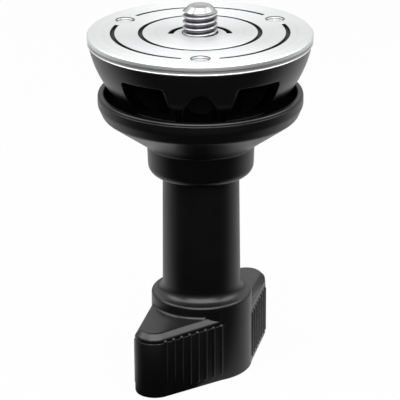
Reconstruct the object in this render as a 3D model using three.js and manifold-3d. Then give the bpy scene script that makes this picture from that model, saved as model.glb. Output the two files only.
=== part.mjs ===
// Half ball adapter for a levelling bowl, 60 mm size.
// Units are millimetres, +Z is up, and the origin is the centre of the knob's underside,
// so the part stands on its knob. A clamping knob screws up a tie rod and pulls a dish
// against the underside of a tripod's bowl, while the ball sits in the bowl from above.
import * as THREE from 'three';
import { mergeVertices } from 'three/addons/utils/BufferGeometryUtils.js';
import Module from 'manifold-3d';

const wasm = await Module();
wasm.setup();

// Facets of round forms
const roundSides = 48;
const mediumSides = 36;
const smallSides = 18;
const finestSides = 8;

// Driving dimensions: clearances
const slipGap = 0.3;
const closeGap = 0.15;
const cutOverrun = 1;

// Driving dimensions: tie rod and its mounting stud, a 3/8 inch 16 thread
const rodRadius = 4.76;
const threadDepth = 0.76;
const threadPitch = 1.5875;
const studHeight = 7.75;
const studTipInset = 0.6;
const studTipChamfer = 1.5;
const studNeckHeight = 0.55;
const rodFlangeWidth = 2.84;
const rodFlangeHeight = 2.2;
const rodNutWall = 3.44;
const rodNutHeight = 5.5;
const rodWasherMargin = 1.2;
const rodWasherHeight = 1.2;
const stopWasherHeight = 1.2;
const stopWasherGap = 0.44;
const stopClipInset = 0.8;
const stopClipHeight = 0.8;
const stopGrooveDepth = 0.8;
const rodTailLength = 1.4;

// Driving dimensions: ball shell
const ballRadius = 31;
const ballCentreAbovePlate = 3;
const ballFootRadius = 18.33;
const ballWall = 3.4;
const deckHeight = 4.4;
const windowWidth = 13.3;
const windowBelowDeck = 0.4;
const windowSillHeight = 3.9;
const windowCornerRadius = 1.1;
const windowOffsetAngle = 33;

// Driving dimensions: top plate
const plateOverhang = 0.31;
const plateHeight = 2.6;
const plateRimStep = 0.3;
const plateBandHeight = 1.15;
const plateShadowHeight = 0.6;
const plateLipChamfer = 0.35;
const grooveDepth = 0.8;
const outerGrooveMargin = 6.9;
const outerGrooveWidth = 1.25;
const outerGrooveStopAngle = 12;
const innerGrooveMargin = 14.5;
const innerGrooveWidth = 1.24;
const centreSlotMargin = 2.7;
const centreSlotWidth = 1.5;
const centreSlotDepth = 1.3;
const centreSlotStartAngle = 6;
const plateBoreGap = 0.74;

// Driving dimensions: fasteners of the plate
const lockScrewRadius = 2.45;
const lockScrewLength = 8;
const lockScrewPointRadius = 1.5;
const lockScrewPointHeight = 0.7;
const lockScrewRecess = 0.35;
const lockScrewSocketRadius = 1.5;
const lockScrewSocketDepth = 2.5;
const lockScrewCount = 3;
const lockScrewFirstAngle = 270;
const lockKeyBoreRadius = 4.75;
const plateScrewCount = 4;
const plateScrewFirstAngle = 45;
const plateScrewMargin = 0.4;
const plateScrewRadius = 1.5;
const plateScrewHeadRadius = 2.4;
const plateScrewHeadHeight = 1.9;
const plateScrewBite = 1.5;
const plateScrewSocketRadius = 1.15;
const plateScrewSocketDepth = 1.1;

// Driving dimensions: clamp dish
const ballFootAboveWeb = 6.3;
const dishRimGap = 3.3;
const dishRimRound = 0.9;
const dishWallStep = 0.95;
const dishWallHeight = 3.2;
const dishShoulderInset = 1.25;
const dishShoulderHeight = 3.1;
const dishBevelInset = 1.9;
const dishBevelHeight = 1.3;
const dishConeHeight = 7.4;
const dishWall = 2.2;
const collarWall = 3.7;
const collarTaper = 0.3;
const collarHeight = 8.7;
const collarFootRound = 3;
const collarBoreGap = 0.6;
const webHeight = 4.1;
const coneFootBelowWeb = 3.3;
const bushWall = 1.2;
const bushFlangeWidth = 3.2;
const bushFlangeHeight = 0.8;

// Driving dimensions: handle
const shoulderHeight = 64.9;
const shoulderWidth = 2.9;
const nutWall = 3.34;
const nutHeight = 10;
const nutBelowShoulder = 8;
const columnWall = 2.5;
const columnTaper = 0.4;
const columnTopChamfer = 0.5;
const rodBoreGap = 0.54;
const ringGrooveDepth = 0.9;
const spigotAboveRing = 1.4;
const knobHeight = 22.5;
const filletWidth = 2.7;
const filletHeight = 2.6;
const hubLipHeight = 0.5;
const hubTaper = 0.1;
const hubFootChamfer = 0.5;
const wingBelowHub = 2.8;
const wingTopDrop = 0.9;
const wingReach = 22.9;
const wingTipRadius = 5.6;
const wingTopRound = 1.7;
const wingAngle = 235.1;
const ribPitch = 2.63;
const ribRadius = 0.55;
const ribProud = 0.4;
const ribTipMargin = 0.1;
const ribHubMargin = 2.2;
const ribFootHeight = 3.7;
const ribTopMargin = 2.4;
const capFlangeWidth = 3.2;
const capFlangeHeight = 1.6;
const capPlugHeight = 3;
const thrustWasherHeight = 1.2;
const ringWasherHeight = 0.6;
const ringWasherWidth = 2.4;
const retainingRingHeight = 1;
const retainingRingWidth = 1.6;
const retainingRingMouthAngle = 40;
const travelDown = 12;
const travelStopGap = 0.6;

// Turning helpers
const radians = THREE.MathUtils.degToRad;
const degrees = THREE.MathUtils.radToDeg;

function onCircle(radius, angle) {
  return [radius * Math.cos(radians(angle)), radius * Math.sin(radians(angle))];
}

// The other short side of a right-angled triangle
function leg(hypotenuse, otherLeg) {
  return Math.sqrt(hypotenuse ** 2 - otherLeg ** 2);
}

// Heights of the stack, from the knob's underside up
const wingTopZ = knobHeight - wingBelowHub;
const thrustWasherZ = shoulderHeight;
const webZ = thrustWasherZ + thrustWasherHeight;
const webTopZ = webZ + webHeight;
const bushFlangeZ = webTopZ;
const ringWasherZ = bushFlangeZ + bushFlangeHeight;
const retainingRingZ = ringWasherZ + ringWasherHeight;
const spigotTopZ = retainingRingZ + retainingRingHeight + spigotAboveRing;
const coneFootZ = webTopZ - coneFootBelowWeb;
const coneTopZ = coneFootZ + dishConeHeight;
const dishShoulderZ = coneTopZ + dishBevelHeight;
const dishWallFootZ = dishShoulderZ + dishShoulderHeight;
const dishRimZ = dishWallFootZ + dishWallHeight;
const collarFootZ = coneFootZ - collarHeight;
const ballFootZ = webTopZ + ballFootAboveWeb;
const ballCentreZ = ballFootZ + leg(ballRadius, ballFootRadius);
const plateTopZ = ballCentreZ - ballCentreAbovePlate;
const deckTopZ = plateTopZ - plateHeight;
const deckUnderZ = deckTopZ - deckHeight;
const nutZ = shoulderHeight - nutBelowShoulder - nutHeight;
const stopWasherZ = nutZ - travelDown - travelStopGap - stopWasherHeight;
const stopClipZ = stopWasherZ - stopClipHeight;
const rodFootZ = stopClipZ - rodTailLength;
const studTopZ = plateTopZ + studHeight;

// Radii that follow from the rod outwards
const rodRootRadius = rodRadius - threadDepth;
const studTipRadius = rodRootRadius - studTipInset;
const rodFlangeRadius = rodRadius + rodFlangeWidth;
const rodNutRadius = rodRadius + rodNutWall;
const rodWasherRadius = rodNutRadius + rodWasherMargin;
const rodSlipRadius = rodRadius + slipGap;
const rodBoreRadius = rodRadius + rodBoreGap;
const nutCornerRadius = rodRadius + nutWall;
const nutPocketRadius = nutCornerRadius + closeGap;
const nutPocketFlatRadius = nutPocketRadius * Math.cos(Math.PI / 6);
const stopWasherRadius = nutPocketFlatRadius - stopWasherGap;
const stopClipRadius = stopWasherRadius - stopClipInset;
const capPlugRadius = nutPocketFlatRadius - slipGap;
const capRadius = capPlugRadius + capFlangeWidth;
const columnTopRadius = nutCornerRadius + columnWall;
const columnFootRadius = columnTopRadius + columnTaper;
const columnNeckRadius = columnTopRadius - columnTopChamfer;
const hubTopRadius = columnFootRadius + filletWidth + hubLipHeight;
const hubRadius = hubTopRadius + hubTaper;
const wingPlanRadius = hubTopRadius;
const spigotRadius = columnTopRadius - shoulderWidth;
const spigotSlipRadius = spigotRadius + slipGap;
const webBoreRadius = spigotSlipRadius + bushWall + closeGap;
const collarBoreRadius = columnTopRadius + collarBoreGap;
const collarRadius = collarBoreRadius + collarWall;
const collarFootRadius = collarRadius - collarTaper;

// Radii that follow from the ball
const plateRadius = leg(ballRadius, ballCentreZ - deckTopZ) + plateOverhang;
const outerGrooveRadius = plateRadius - outerGrooveMargin;
const innerGrooveRadius = plateRadius - innerGrooveMargin;
const plateBoreRadius = rodRadius + plateBoreGap;
const centreSlotRadius = plateBoreRadius + centreSlotMargin;
const plateScrewCircleRadius = rodWasherRadius + plateScrewMargin + plateScrewHeadRadius;
const dishRimRadius = leg(ballRadius, ballCentreZ - dishRimZ) + dishRimGap;
const dishWallRadius = dishRimRadius + dishWallStep;
const dishShoulderRadius = dishWallRadius - dishShoulderInset;
const dishConeRadius = dishShoulderRadius - dishBevelInset;

// Solids from three.js geometries
function solidOf(geometry) {
  const bare = geometry.clone();
  bare.deleteAttribute('normal');
  bare.deleteAttribute('uv');
  const merged = mergeVertices(bare, threadPitch * 1e-4);
  const corners = merged.index.array;
  const kept = [];
  for (let i = 0; i < corners.length; i += 3) {
    const [a, b, c] = [corners[i], corners[i + 1], corners[i + 2]];
    if (a !== b && b !== c && c !== a) kept.push(a, b, c);
  }
  return new wasm.Manifold(new wasm.Mesh({
    numProp: 3,
    vertProperties: merged.attributes.position.array,
    triVerts: new Uint32Array(kept),
  }));
}

function geometryOf(solid) {
  const mesh = solid.getMesh();
  const stride = mesh.numProp;
  const count = mesh.vertProperties.length / stride;
  const positions = new Float32Array(count * 3);
  for (let i = 0; i < count; i += 1) {
    positions.set(mesh.vertProperties.subarray(i * stride, i * stride + 3), i * 3);
  }
  const geometry = new THREE.BufferGeometry();
  geometry.setAttribute('position', new THREE.BufferAttribute(positions, 3));
  geometry.setIndex(new THREE.BufferAttribute(mesh.triVerts, 1));
  return geometry;
}

// A turned solid: points are [radius, height], going round the section either way.
function turned(points, sides = roundSides) {
  let area = 0;
  points.forEach(([r, z], i) => {
    const [nextR, nextZ] = points[(i + 1) % points.length];
    area += r * nextZ - nextR * z;
  });
  const outward = area > 0 ? points : [...points].reverse();
  const outline = [...outward, outward[0]].map(([r, z]) => new THREE.Vector2(r, z));
  return solidOf(new THREE.LatheGeometry(outline, sides).rotateX(Math.PI / 2));
}

// A plain disc, or a ring when it is given a bore.
function disc(radius, lowZ, highZ, sides = mediumSides, bore = 0) {
  return turned([[bore, lowZ], [radius, lowZ], [radius, highZ], [bore, highZ]], sides);
}

function movedDisc(centre, radius, lowZ, highZ, sides) {
  const height = highZ - lowZ;
  const cylinder = new THREE.CylinderGeometry(radius, radius, height, sides);
  cylinder.rotateX(Math.PI / 2);
  cylinder.translate(centre[0], centre[1], lowZ + height / 2);
  return solidOf(cylinder);
}

function hexPrism(cornerRadius, lowZ, highZ, centre = [0, 0]) {
  return movedDisc(centre, cornerRadius, lowZ, highZ, 6);
}

// An upright prism of a flat shape
function prism(shape, lowZ, highZ, curveSegments) {
  const settings = { depth: highZ - lowZ, bevelEnabled: false, curveSegments };
  return solidOf(new THREE.ExtrudeGeometry(shape, settings).translate(0, 0, lowZ));
}

// Points of an arc in a section plane, ends included
function arcPoints(centreR, centreZ, radius, fromAngle, toAngle, steps) {
  const points = [];
  for (let i = 0; i <= steps; i += 1) {
    const [x, y] = onCircle(radius, fromAngle + ((toAngle - fromAngle) * i) / steps);
    points.push([centreR + x, centreZ + y]);
  }
  return points;
}

// A ring sector with square ends, used for the grooves that stop short of a full turn
function ringSector(radius, width, fromAngle, toAngle, lowZ, highZ) {
  const shape = new THREE.Shape();
  shape.absarc(0, 0, radius + width / 2, radians(fromAngle), radians(toAngle), false);
  shape.absarc(0, 0, radius - width / 2, radians(toAngle), radians(fromAngle), true);
  // Each arc gets two facets per curve segment.
  const segments = Math.ceil(((toAngle - fromAngle) / 720) * mediumSides);
  return prism(shape, lowZ, highZ, segments);
}

const lockScrewAngles = [];
for (let i = 0; i < lockScrewCount; i += 1) {
  lockScrewAngles.push(lockScrewFirstAngle + (360 / lockScrewCount) * i);
}
const plateScrewAngles = [];
for (let i = 0; i < plateScrewCount; i += 1) {
  plateScrewAngles.push(plateScrewFirstAngle + (360 / plateScrewCount) * i);
}

// Top plate: an aluminium disc with a stepped rim, grooves and three screw holes
function makeTopPlate() {
  const shadowZ = plateTopZ - plateBandHeight;
  const lipZ = shadowZ - plateShadowHeight;
  const grooveFloorZ = plateTopZ - grooveDepth;
  const grooveIn = innerGrooveRadius - innerGrooveWidth / 2;
  const grooveOut = innerGrooveRadius + innerGrooveWidth / 2;
  let plate = turned([
    [plateBoreRadius, deckTopZ],
    [plateRadius - plateLipChamfer, deckTopZ],
    [plateRadius, deckTopZ + plateLipChamfer],
    [plateRadius, lipZ],
    [plateRadius - plateRimStep, lipZ],
    [plateRadius - plateRimStep, shadowZ],
    [plateRadius, shadowZ],
    [plateRadius, plateTopZ - plateLipChamfer],
    [plateRadius - plateLipChamfer, plateTopZ],
    [grooveOut, plateTopZ],
    [grooveOut, grooveFloorZ],
    [grooveIn, grooveFloorZ],
    [grooveIn, plateTopZ],
    [plateBoreRadius, plateTopZ],
  ]);
  const turn = 360 / lockScrewCount;
  lockScrewAngles.forEach((angle) => {
    const from = angle + outerGrooveStopAngle;
    const to = angle + turn - outerGrooveStopAngle;
    const high = plateTopZ + cutOverrun;
    plate = plate.subtract(
      ringSector(outerGrooveRadius, outerGrooveWidth, from, to, grooveFloorZ, high),
    );
    const centre = onCircle(outerGrooveRadius, angle);
    const bore = lockScrewRadius + slipGap;
    plate = plate.subtract(movedDisc(centre, bore, deckTopZ - cutOverrun, high, smallSides));
  });
  plateScrewAngles.forEach((angle) => {
    const centre = onCircle(plateScrewCircleRadius, angle);
    const bore = plateScrewRadius + closeGap;
    const top = deckTopZ + plateScrewBite + closeGap;
    plate = plate.subtract(movedDisc(centre, bore, deckTopZ - cutOverrun, top, finestSides));
  });
  const slotEnd = 180 - centreSlotStartAngle;
  const slotFloorZ = plateTopZ - centreSlotDepth;
  return plate.subtract(ringSector(
    centreSlotRadius, centreSlotWidth, centreSlotStartAngle, slotEnd,
    slotFloorZ, plateTopZ + cutOverrun,
  ));
}

// A rounded window outline, cut through the ball's wall along a level line
function windowCutter(angle) {
  const half = windowWidth / 2;
  const top = deckUnderZ - windowBelowDeck;
  const foot = ballFootZ + windowSillHeight;
  const r = windowCornerRadius;
  const shape = new THREE.Shape();
  shape.moveTo(-half + r, foot);
  shape.lineTo(half - r, foot);
  shape.absarc(half - r, foot + r, r, -Math.PI / 2, 0, false);
  shape.lineTo(half, top - r);
  shape.absarc(half - r, top - r, r, 0, Math.PI / 2, false);
  shape.lineTo(-half + r, top);
  shape.absarc(-half + r, top - r, r, Math.PI / 2, Math.PI, false);
  shape.lineTo(-half, foot + r);
  shape.absarc(-half + r, foot + r, r, Math.PI, (3 * Math.PI) / 2, false);
  const settings = {
    depth: ballRadius + cutOverrun, bevelEnabled: false, curveSegments: 2,
  };
  const cutter = new THREE.ExtrudeGeometry(shape, settings);
  cutter.rotateX(Math.PI / 2);
  cutter.rotateZ(radians(angle) + Math.PI / 2);
  return solidOf(cutter);
}

// The windows flank the front key bore, and stand on the rear side of the other two.
function windowAngles() {
  const [front, second, third] = lockScrewAngles;
  return [
    front - windowOffsetAngle,
    front + windowOffsetAngle,
    second + windowOffsetAngle,
    third - windowOffsetAngle,
  ];
}

// Ball shell: a hollow half ball with a deck under the plate
function makeBallShell() {
  const arcSteps = 7;
  const angleAt = (radius, z) => degrees(Math.asin((z - ballCentreZ) / radius));
  const inner = ballRadius - ballWall;
  const outside = arcPoints(
    0, ballCentreZ, ballRadius,
    angleAt(ballRadius, ballFootZ), angleAt(ballRadius, deckTopZ), arcSteps,
  );
  const inside = arcPoints(
    0, ballCentreZ, inner,
    angleAt(inner, deckUnderZ), angleAt(inner, ballFootZ), arcSteps - 2,
  );
  let shell = turned([
    ...outside,
    [0, deckTopZ],
    [0, deckUnderZ],
    ...inside,
  ]);
  const boreFoot = deckUnderZ - cutOverrun;
  shell = shell.subtract(disc(rodSlipRadius, boreFoot, plateTopZ, smallSides));
  const pocketFoot = deckTopZ - rodFlangeHeight - closeGap;
  shell = shell.subtract(hexPrism(rodFlangeRadius + slipGap, pocketFoot, plateTopZ));
  windowAngles().forEach((angle) => {
    shell = shell.subtract(windowCutter(angle));
  });
  const threadRadius = lockScrewRadius + closeGap;
  lockScrewAngles.forEach((angle) => {
    const centre = onCircle(outerGrooveRadius, angle);
    shell = shell.subtract(movedDisc(centre, threadRadius, boreFoot, plateTopZ, smallSides));
    const keyFoot = ballFootZ - cutOverrun;
    shell = shell.subtract(
      movedDisc(centre, lockKeyBoreRadius, keyFoot, deckUnderZ, smallSides),
    );
  });
  plateScrewAngles.forEach((angle) => {
    const centre = onCircle(plateScrewCircleRadius, angle);
    const bore = plateScrewRadius + closeGap;
    shell = shell.subtract(movedDisc(centre, bore, boreFoot, plateTopZ, finestSides));
  });
  return shell;
}

// A trapezoid ridge that climbs round the rod, from low to high
function threadRidge(lowZ, highZ) {
  const steps = smallSides;
  const turns = (highZ - lowZ) / threadPitch;
  const count = Math.round(turns * steps);
  const footShare = 0.49;
  const crestShare = 0.08;
  const inside = rodRootRadius - (rodRadius - rodRootRadius) / 4;
  const section = [
    [inside, -threadPitch * footShare],
    [rodRadius, -threadPitch * crestShare],
    [rodRadius, threadPitch * crestShare],
    [inside, threadPitch * footShare],
  ];
  const positions = [];
  const index = [];
  const width = section.length;
  for (let i = 0; i <= count; i += 1) {
    const angle = (360 / steps) * i;
    const climb = lowZ + (threadPitch / steps) * i;
    section.forEach(([r, z]) => positions.push(...onCircle(r, angle), climb + z));
  }
  for (let i = 0; i < count; i += 1) {
    for (let k = 0; k < width; k += 1) {
      const next = (k + 1) % width;
      const [a, b] = [i * width + k, i * width + next];
      const [c, d] = [a + width, b + width];
      index.push(a, c, d, a, d, b);
    }
  }
  const last = count * width;
  for (let k = 1; k < width - 1; k += 1) {
    index.push(0, k, k + 1);
    index.push(last, last + k + 1, last + k);
  }
  const geometry = new THREE.BufferGeometry();
  geometry.setAttribute('position', new THREE.Float32BufferAttribute(positions, 3));
  geometry.setIndex(index);
  return solidOf(geometry);
}

// Tie rod: its top end is the threaded mounting stud
function makeTieRod() {
  const flangeZ = deckTopZ - rodFlangeHeight;
  const clipRootRadius = rodRadius - stopGrooveDepth;
  const core = turned([
    [0, rodFootZ],
    [rodRootRadius, rodFootZ],
    [rodRadius, rodFootZ + (rodRadius - rodRootRadius)],
    [rodRadius, stopClipZ - closeGap],
    [clipRootRadius, stopClipZ - closeGap],
    [clipRootRadius, stopWasherZ],
    [rodRadius, stopWasherZ],
    [rodRadius, plateTopZ + studNeckHeight - threadPitch / 2],
    [rodRootRadius, plateTopZ + studNeckHeight - threadPitch / 2],
    [rodRootRadius, studTopZ - studTipChamfer],
    [studTipRadius, studTopZ],
    [0, studTopZ],
  ], smallSides);
  const envelope = turned([
    [0, plateTopZ - threadPitch],
    [rodRadius + cutOverrun, plateTopZ - threadPitch],
    [rodRadius + cutOverrun, studTopZ - studTipChamfer - cutOverrun],
    [studTipRadius, studTopZ],
    [0, studTopZ],
  ], smallSides);
  const ridge = threadRidge(plateTopZ, studTopZ).intersect(envelope);
  return core.add(ridge).add(hexPrism(rodFlangeRadius, flangeZ, deckTopZ - closeGap));
}

// Lock screw: a set screw with a socket below and a blunt point above
function makeLockScrew(angle) {
  const centre = onCircle(outerGrooveRadius, angle);
  const topZ = plateTopZ - lockScrewRecess;
  const footZ = topZ - lockScrewLength;
  const outline = [
    [0, footZ],
    [lockScrewRadius, footZ],
    [lockScrewRadius, topZ - lockScrewPointHeight],
    [lockScrewPointRadius, topZ],
    [0, topZ],
  ].map(([r, z]) => new THREE.Vector2(r, z));
  const body = new THREE.LatheGeometry(outline, smallSides).rotateX(Math.PI / 2);
  body.translate(centre[0], centre[1], 0);
  const socketTop = footZ + lockScrewSocketDepth;
  return solidOf(body).subtract(
    hexPrism(lockScrewSocketRadius, footZ - cutOverrun, socketTop, centre),
  );
}

// Plate screw: holds the plate to the deck from below
function makePlateScrew(angle) {
  const centre = onCircle(plateScrewCircleRadius, angle);
  const headFoot = deckUnderZ - plateScrewHeadHeight;
  const shank = movedDisc(
    centre, plateScrewRadius, deckUnderZ - plateScrewHeadHeight / 2,
    deckTopZ + plateScrewBite, finestSides,
  );
  const head = movedDisc(centre, plateScrewHeadRadius, headFoot, deckUnderZ, finestSides);
  const socket = hexPrism(
    plateScrewSocketRadius, headFoot - cutOverrun, headFoot + plateScrewSocketDepth, centre,
  );
  return head.add(shank).subtract(socket);
}

// Clamp dish: cup, cone, web and collar in one moulding
function makeClampDish() {
  const rimCentreZ = dishRimZ - dishRimRound;
  const innerWallRadius = dishRimRadius - dishRimRound;
  const coneAngle = Math.atan2(dishConeHeight, dishConeRadius - collarRadius);
  const offsetR = dishWall * Math.sin(coneAngle);
  const offsetZ = dishWall * Math.cos(coneAngle);
  const innerConeTop = [dishConeRadius - offsetR, coneTopZ + offsetZ];
  const slope = (dishConeRadius - collarRadius) / dishConeHeight;
  const floorRadius = innerConeTop[0] - (innerConeTop[1] - webTopZ) * slope;
  const footRadius = collarFootRadius - collarFootRound;
  const footRound = arcPoints(
    footRadius, collarFootZ + collarFootRound, collarFootRound, -90, 0, 4,
  ).map(([r, z]) => [Math.max(r, collarBoreRadius), z]);
  return turned([
    [webBoreRadius, webTopZ],
    [floorRadius, webTopZ],
    innerConeTop,
    [innerWallRadius, dishWallFootZ - dishRimRound],
    ...arcPoints(dishRimRadius, rimCentreZ, dishRimRound, 180, 30, 5),
    [dishWallRadius, rimCentreZ - dishRimRound],
    [dishWallRadius, dishWallFootZ],
    [dishWallRadius - dishRimRound / 2, (dishWallFootZ + dishShoulderZ) / 2],
    [dishShoulderRadius, dishShoulderZ],
    [dishConeRadius, coneTopZ],
    [collarRadius, coneFootZ],
    ...[...footRound].reverse(),
    [collarBoreRadius, webZ],
    [webBoreRadius, webZ],
  ]);
}

// Dish bush: a flanged sleeve in the web, between the dish and the turning spigot
function makeDishBush() {
  const bore = spigotSlipRadius;
  const flange = bore + bushFlangeWidth;
  return turned([
    [bore, webZ],
    [bore + bushWall, webZ],
    [bore + bushWall, webTopZ],
    [flange, webTopZ],
    [flange, webTopZ + bushFlangeHeight],
    [bore, webTopZ + bushFlangeHeight],
  ], mediumSides);
}

// The angle from a wing's centre line to the square of its flat face
const wingFaceAngle = degrees(Math.acos((wingPlanRadius - wingTipRadius) / wingReach));

// The outline of both wings along X, tapering from the hub to round tips
function wingShape(inset) {
  const hub = wingPlanRadius - inset;
  const tip = wingTipRadius - inset;
  const half = wingFaceAngle;
  const shape = new THREE.Shape();
  shape.absarc(wingReach, 0, tip, radians(-half), radians(half), false);
  shape.absarc(0, 0, hub, radians(half), radians(180 - half), false);
  shape.absarc(-wingReach, 0, tip, radians(180 - half), radians(180 + half), false);
  shape.absarc(0, 0, hub, radians(180 + half), radians(360 - half), false);
  return shape;
}

// The wings' block, with a rounded top edge and a top that falls towards the tips
function makeWings() {
  const settings = {
    depth: wingTopZ, bevelEnabled: true, curveSegments: finestSides / 2,
    bevelThickness: wingTopRound, bevelSize: wingTopRound, bevelOffset: 0, bevelSegments: 3,
  };
  const block = new THREE.ExtrudeGeometry(wingShape(wingTopRound), settings);
  block.translate(0, 0, -wingTopRound);
  const positions = block.attributes.position;
  for (let i = 0; i < positions.count; i += 1) {
    const share = Math.abs(positions.getX(i)) / wingReach;
    if (positions.getZ(i) > wingTopZ / 2) {
      positions.setZ(i, positions.getZ(i) - wingTopDrop * share);
    }
  }
  block.rotateZ(radians(wingAngle));
  const reach = wingReach + wingTipRadius + cutOverrun;
  const below = disc(reach, -wingTopRound * 2 - cutOverrun, 0, smallSides);
  return solidOf(block).subtract(below);
}

// Grip ribs: upright half-round beads on all four faces of the wings, from the tip inwards
function makeRibs() {
  const half = wingFaceAngle;
  const run = wingReach * Math.sin(radians(half));
  const count = Math.floor((run - ribTipMargin - ribHubMargin) / ribPitch) + 1;
  const ribTopZ = wingTopZ - ribTopMargin;
  const beadZ = (ribFootHeight + ribTopZ) / 2;
  const beads = [];
  [half, -half, 180 + half, 180 - half].forEach((face, side) => {
    const outward = wingAngle + face;
    const along = outward + (side % 2 === 0 ? -90 : 90);
    const depth = wingPlanRadius + ribProud - ribRadius;
    for (let i = 0; i < count; i += 1) {
      const place = run - ribTipMargin - i * ribPitch;
      const [x, y] = onCircle(depth, outward);
      const [alongX, alongY] = onCircle(place, along);
      const length = ribTopZ - ribFootHeight - ribRadius * 2;
      const bead = new THREE.CapsuleGeometry(ribRadius, length, 2, 6);
      bead.rotateX(Math.PI / 2);
      bead.translate(x + alongX, y + alongY, beadZ);
      beads.push(solidOf(bead));
    }
  });
  return beads;
}

// Handle: wings, hub, column and spigot in one moulding, bored for the rod and its nut
function makeHandle() {
  const filletRadius = hubTopRadius - hubLipHeight - columnFootRadius;
  const columnFootZ = knobHeight + filletHeight;
  const fillet = [];
  const filletSteps = 5;
  for (let i = 0; i <= filletSteps; i += 1) {
    const [x, y] = onCircle(1, 270 - (90 * i) / filletSteps);
    fillet.push([
      columnFootRadius + filletRadius * (1 + x), columnFootZ + filletHeight * y,
    ]);
  }
  const grooveRadius = spigotRadius - ringGrooveDepth;
  const grooveTop = retainingRingZ + retainingRingHeight + closeGap;
  let handle = turned([
    [0, 0],
    [hubRadius - hubFootChamfer, 0],
    [hubRadius, hubFootChamfer],
    [hubTopRadius, knobHeight - hubLipHeight],
    ...fillet,
    [columnTopRadius, shoulderHeight - columnTopChamfer],
    [columnNeckRadius, shoulderHeight],
    [spigotRadius, shoulderHeight],
    [spigotRadius, retainingRingZ],
    [grooveRadius, retainingRingZ],
    [grooveRadius, grooveTop],
    [spigotRadius, grooveTop],
    [spigotRadius, spigotTopZ - slipGap],
    [spigotRadius - slipGap, spigotTopZ],
    [0, spigotTopZ],
  ], mediumSides);
  handle = handle.add(makeWings());
  makeRibs().forEach((bead) => {
    handle = handle.add(bead);
  });
  const high = spigotTopZ + cutOverrun;
  handle = handle.subtract(disc(rodBoreRadius, -cutOverrun, high, smallSides));
  handle = handle.subtract(hexPrism(nutPocketRadius, -cutOverrun, nutZ + nutHeight));
  const capSeat = capFlangeHeight + closeGap;
  return handle.subtract(disc(capRadius + closeGap, -cutOverrun, capSeat, mediumSides));
}

function makeRetainingRing() {
  const inner = spigotRadius - ringGrooveDepth + closeGap;
  const outer = inner + retainingRingWidth;
  const top = retainingRingZ + retainingRingHeight;
  const halfMouth = retainingRingMouthAngle / 2;
  return ringSector(
    (inner + outer) / 2, outer - inner, halfMouth, 360 - halfMouth, retainingRingZ, top,
  );
}

function makeStopClip() {
  const inner = rodRadius - stopGrooveDepth + closeGap;
  const halfMouth = retainingRingMouthAngle / 2;
  return ringSector(
    (inner + stopClipRadius) / 2, stopClipRadius - inner,
    halfMouth, 360 - halfMouth, stopClipZ, stopWasherZ,
  );
}

// End cap: closes the hub's bore from below, its face just above the knob's underside
function makeEndCap() {
  const faceZ = closeGap;
  const seatZ = capFlangeHeight;
  return turned([
    [0, faceZ],
    [capRadius - slipGap, faceZ],
    [capRadius, faceZ + slipGap],
    [capRadius, seatZ],
    [capPlugRadius, seatZ],
    [capPlugRadius, seatZ + capPlugHeight],
    [0, seatZ + capPlugHeight],
  ], mediumSides);
}

// Finishes
const machinedAluminium = { color: 0xdcdee0, roughness: 0.35, metalness: 0.9 };
const bareSteel = { color: 0xb9bcc0, roughness: 0.3, metalness: 0.95 };
const darkCoat = { color: 0x17181a, roughness: 0.5, metalness: 0.2 };
const blackMoulding = { color: 0x1b1c1e, roughness: 0.6, metalness: 0 };
const paleNylon = { color: 0xe4e2da, roughness: 0.55, metalness: 0 };
const brassMetal = { color: 0xb08d3f, roughness: 0.4, metalness: 0.9 };

const adapter = new THREE.Group();

function place(name, solid, finish) {
  const mesh = new THREE.Mesh(geometryOf(solid), new THREE.MeshStandardMaterial(finish));
  mesh.name = name;
  mesh.geometry.computeVertexNormals();
  adapter.add(mesh);
}

place('top_plate', makeTopPlate(), machinedAluminium);
place('ball_shell', makeBallShell(), darkCoat);
place('tie_rod', makeTieRod(), bareSteel);
place('rod_washer', disc(
  rodWasherRadius, deckUnderZ - rodWasherHeight, deckUnderZ, mediumSides, rodSlipRadius,
), bareSteel);
place('rod_nut', hexPrism(
  rodNutRadius, deckUnderZ - rodWasherHeight - rodNutHeight, deckUnderZ - rodWasherHeight,
).subtract(disc(rodRadius + closeGap, 0, plateTopZ, smallSides)), bareSteel);
place('rod_stop_washer', disc(
  stopWasherRadius, stopWasherZ, stopWasherZ + stopWasherHeight, mediumSides, rodSlipRadius,
), bareSteel);
place('rod_stop_clip', makeStopClip(), bareSteel);
lockScrewAngles.forEach((angle, i) => {
  place(`lock_screw_${i + 1}`, makeLockScrew(angle), bareSteel);
});
plateScrewAngles.forEach((angle, i) => {
  place(`plate_screw_${i + 1}`, makePlateScrew(angle), bareSteel);
});
place('clamp_dish', makeClampDish(), blackMoulding);
place('dish_bush', makeDishBush(), paleNylon);
place('ring_washer', disc(
  spigotSlipRadius + ringWasherWidth, ringWasherZ, ringWasherZ + ringWasherHeight,
  mediumSides, spigotSlipRadius,
), bareSteel);
place('thrust_washer', disc(
  columnNeckRadius, thrustWasherZ, thrustWasherZ + thrustWasherHeight,
  mediumSides, spigotSlipRadius,
), paleNylon);
place('handle', makeHandle(), blackMoulding);
place('handle_nut', hexPrism(nutCornerRadius, nutZ, nutZ + nutHeight)
  .subtract(disc(rodRadius + closeGap, 0, plateTopZ, smallSides)), brassMetal);
place('retaining_ring', makeRetainingRing(), bareSteel);
place('end_cap', makeEndCap(), blackMoulding);

export default adapter;
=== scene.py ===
# Looks of the half ball adapter, built round the imported frame.
# Shapes are written in millimetres and scaled to metres when a piece is made.
# Materials, lamps and the camera are in metres, apart from the places of the metals' painted shade and
# tones.
import math

import bmesh
import bpy
from mathutils import Matrix, Vector


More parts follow.
